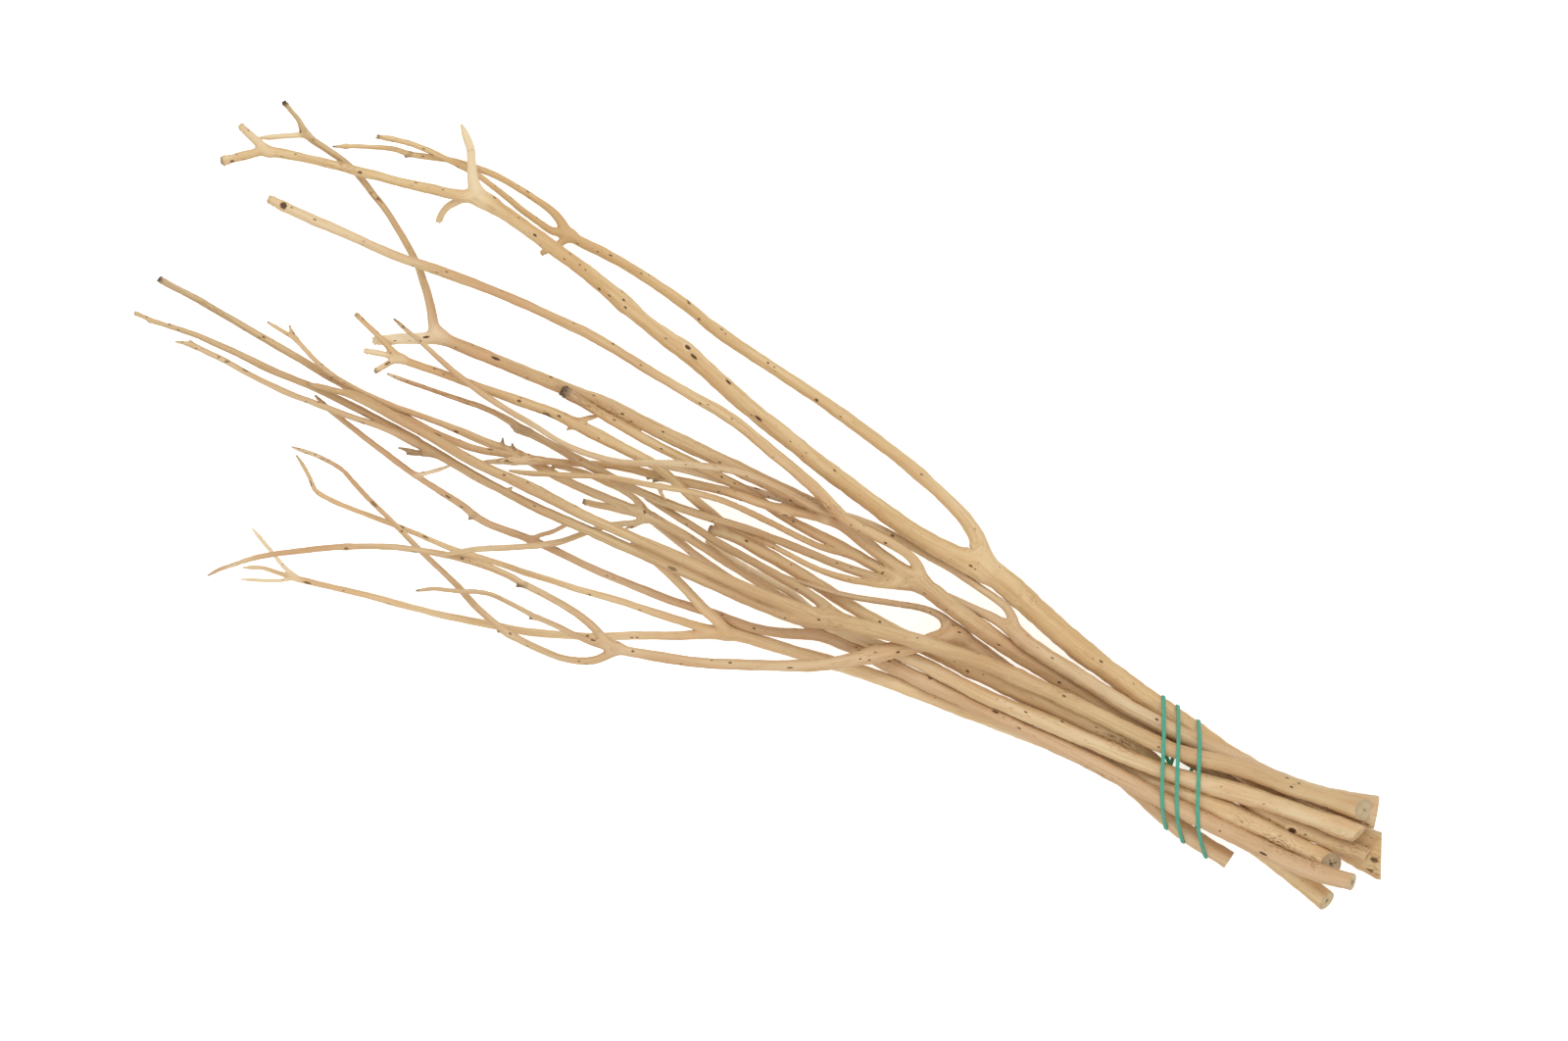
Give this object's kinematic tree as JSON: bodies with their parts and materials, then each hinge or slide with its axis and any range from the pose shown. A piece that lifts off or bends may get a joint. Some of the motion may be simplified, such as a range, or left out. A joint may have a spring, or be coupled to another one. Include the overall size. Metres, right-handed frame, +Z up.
{
  "type": "bundle of peeled mitsumata branches",
  "caption": "Bundle of peeled, forked mitsumata branches tied near the cut ends with a green rubber band, lying down with the twigs spread to one end.",
  "frame": {"origin": "on the ground under the middle of the bundle's box", "axes": "+X from the twig tips towards the cut ends, along the bundle; +Z up from the ground; +Y across the bundle, towards the thickest branch's fork"},
  "size_m": [0.7624, 0.2888, 0.0535],
  "materials": {
    "peeled_wood_a": "bare peeled wood, satin, fine lengthwise grain",
    "peeled_wood_b": "bare peeled wood, satin, fine lengthwise grain",
    "peeled_wood_c": "bare peeled wood, satin, fine lengthwise grain",
    "peeled_wood_d": "bare peeled wood, satin, fine lengthwise grain",
    "peeled_wood_e": "bare peeled wood, satin, fine lengthwise grain",
    "peeled_wood_f": "bare peeled wood, satin, fine lengthwise grain",
    "peeled_wood_g": "bare peeled wood, satin, fine lengthwise grain",
    "peeled_wood_h": "bare peeled wood, satin, fine lengthwise grain",
    "peeled_wood_n": "bare peeled wood, satin, fine lengthwise grain",
    "green_rubber": "smooth matte green rubber"
  },
  "bodies": {
    "root": {"branch_a": "peeled_wood_a", "branch_b": "peeled_wood_b", "branch_c": "peeled_wood_c", "branch_d": "peeled_wood_d", "branch_e": "peeled_wood_e", "branch_f": "peeled_wood_f", "branch_g": "peeled_wood_g", "branch_h": "peeled_wood_h", "branch_n": "peeled_wood_n", "rubber_band": "green_rubber"}
  },
  "joints": []
}
